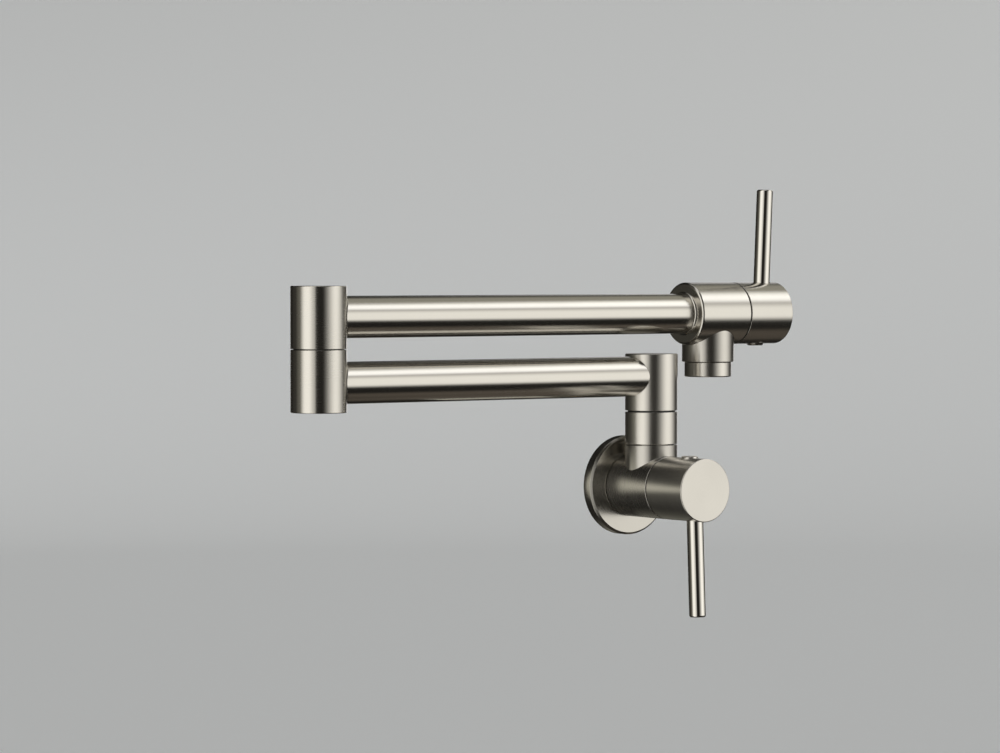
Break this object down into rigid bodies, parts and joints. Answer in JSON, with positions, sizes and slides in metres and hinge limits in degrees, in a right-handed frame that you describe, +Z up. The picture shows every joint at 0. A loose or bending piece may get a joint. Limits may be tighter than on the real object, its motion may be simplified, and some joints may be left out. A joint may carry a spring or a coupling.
{
  "type": "wall-mounted folding kitchen tap",
  "caption": "Wall-mounted pot-filler tap with a double-jointed folding arm, a lever valve at the wall and a second lever valve above the aerated outlet.",
  "frame": {"origin": "centre of the inlet thread on the wall plane, where the wall valve's axis meets the wall", "axes": "+Y into the wall along the inlet, +Z up, +X to the right for someone who faces the wall"},
  "size_m": [0.3521, 0.0931, 0.255],
  "materials": {
    "satin_nickel": "satin brushed nickel plate over brass",
    "lever_nickel": "finely drawn nickel, a little brighter than the bodies",
    "raw_brass": "machined brass, unplated",
    "stainless": "bright stainless steel",
    "ceramic": "lapped alumina ceramic",
    "rubber_seal": "black sealing rubber",
    "slip_plastic": "low-friction acetal",
    "aerator_plastic": "moulded acetal honeycomb",
    "fibre": "red fibre"
  },
  "bodies": {
    "wall_body": {"wall_flange": "satin_nickel", "flange_gasket": "rubber_seal", "flange_o_ring": "rubber_seal", "inlet_nipple": "raw_brass", "inlet_washer": "fibre", "wall_valve_body": "satin_nickel", "swivel_collar": "satin_nickel", "collar_o_ring": "rubber_seal", "wall_cartridge_housing": "raw_brass", "wall_fixed_disc": "ceramic", "wall_base_seal": "rubber_seal", "wall_cartridge_o_ring": "rubber_seal"},
    "wall_handle": {"wall_handle_hub": "satin_nickel", "wall_lever": "lever_nickel", "wall_handle_screw": "stainless", "wall_handle_plug": "satin_nickel", "wall_cartridge_stem": "raw_brass", "wall_moving_disc": "ceramic", "wall_stem_o_ring": "rubber_seal", "wall_stem_clip": "stainless"},
    "lower_arm": {"post_head": "satin_nickel", "post_spindle": "raw_brass", "post_o_rings": "rubber_seal", "post_slip_washer": "slip_plastic", "post_retaining_ring": "stainless", "lower_tube": "satin_nickel", "lower_elbow_housing": "satin_nickel", "elbow_lock_screw": "stainless"},
    "upper_arm": {"upper_elbow_housing": "satin_nickel", "elbow_spindle": "raw_brass", "elbow_o_rings": "rubber_seal", "elbow_slip_washer": "slip_plastic", "upper_tube": "satin_nickel", "outlet_valve_body": "satin_nickel", "outlet_cartridge_housing": "raw_brass", "outlet_fixed_disc": "ceramic", "outlet_base_seal": "rubber_seal", "outlet_cartridge_o_ring": "rubber_seal", "aerator_housing": "satin_nickel", "aerator_insert": "aerator_plastic", "aerator_screen": "stainless", "aerator_washer": "rubber_seal"},
    "outlet_handle": {"outlet_handle_hub": "satin_nickel", "outlet_lever": "lever_nickel", "outlet_handle_screw": "stainless", "outlet_handle_plug": "satin_nickel", "outlet_cartridge_stem": "raw_brass", "outlet_moving_disc": "ceramic", "outlet_stem_o_ring": "rubber_seal", "outlet_stem_clip": "stainless"}
  },
  "joints": [
    {"name": "wall_handle_turn", "type": "hinge", "parent": "wall_body", "child": "wall_handle", "pos_m": [0, -0.046, 0], "axis": [0, -1, 0], "range_deg": [0, 90]},
    {"name": "arm_swivel", "type": "hinge", "parent": "wall_body", "child": "lower_arm", "pos_m": [0, -0.028, 0.0455], "axis": [0, 0, 1], "range_deg": [0, 180]},
    {"name": "elbow_swivel", "type": "hinge", "parent": "lower_arm", "child": "upper_arm", "pos_m": [-0.24, -0.028, 0.0857], "axis": [0, 0, 1], "range_deg": [-180, 180]},
    {"name": "outlet_handle_turn", "type": "hinge", "parent": "upper_arm", "child": "outlet_handle", "pos_m": [0.063, -0.028, 0.1038], "axis": [1, 0, 0], "range_deg": [0, 90]}
  ]
}
